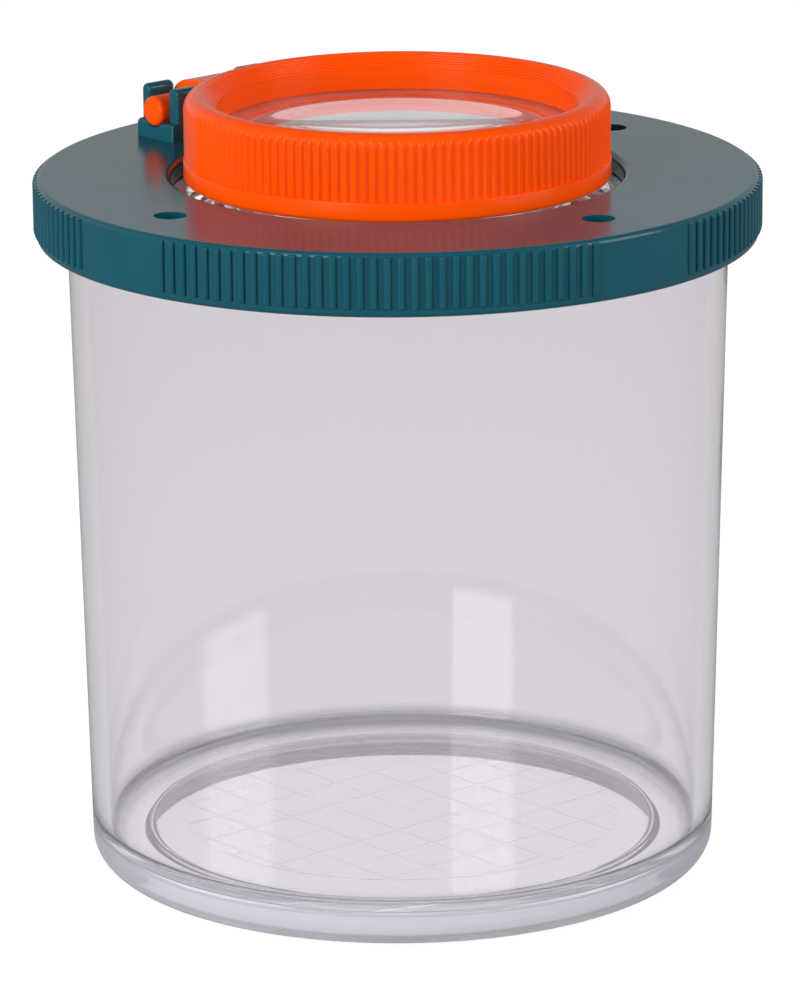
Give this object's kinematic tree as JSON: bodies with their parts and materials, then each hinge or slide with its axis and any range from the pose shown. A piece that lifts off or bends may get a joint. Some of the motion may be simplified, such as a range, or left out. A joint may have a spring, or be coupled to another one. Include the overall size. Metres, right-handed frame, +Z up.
{
  "type": "bug catcher jar",
  "caption": "Clear round jar for catching and viewing insects, with a ribbed screw lid, air holes, a magnifier fixed in the lid and another magnifier in a ring that flips up on a hinge.",
  "frame": {"origin": "middle of the jar's foot, on the surface that it stands on", "axes": "+Z up along the jar's axis, +Y towards the hinge of the flip ring, +X along the hinge axis"},
  "size_m": [0.069, 0.069, 0.0757],
  "materials": {
    "clear": "clear polished polystyrene, faintly grey",
    "lens": "clear polished acrylic",
    "teal": "moulded, satin to gloss",
    "orange": "moulded, gloss"
  },
  "bodies": {
    "jar_body": {"jar": "clear"},
    "lens_carrier": {"lid_lens": "lens", "lid_lens_retainer": "teal"},
    "lid_body": {"screw_lid": "teal"},
    "flip_body": {"flip_ring": "orange", "flip_lens": "lens", "flip_lens_retainer": "orange"}
  },
  "joints": [
    {"name": "lid_lift", "type": "slide", "parent": "jar_body", "child": "lens_carrier", "axis": [0, 0, 1], "range_m": [0, 0.00901]},
    {"name": "lid_turn", "type": "hinge", "parent": "lens_carrier", "child": "lid_body", "pos_m": [0, 0, 0.068], "axis": [0, 0, 1], "range_deg": [0, 360]},
    {"name": "lens_flip", "type": "hinge", "parent": "lid_body", "child": "flip_body", "pos_m": [0, 0.0269, 0.07075], "axis": [-1, 0, 0], "range_deg": [0, 160]}
  ],
  "couplings": [
    {"joint": "lid_lift", "follows": "lid_turn", "m_per_rad": 0.0014324}
  ]
}
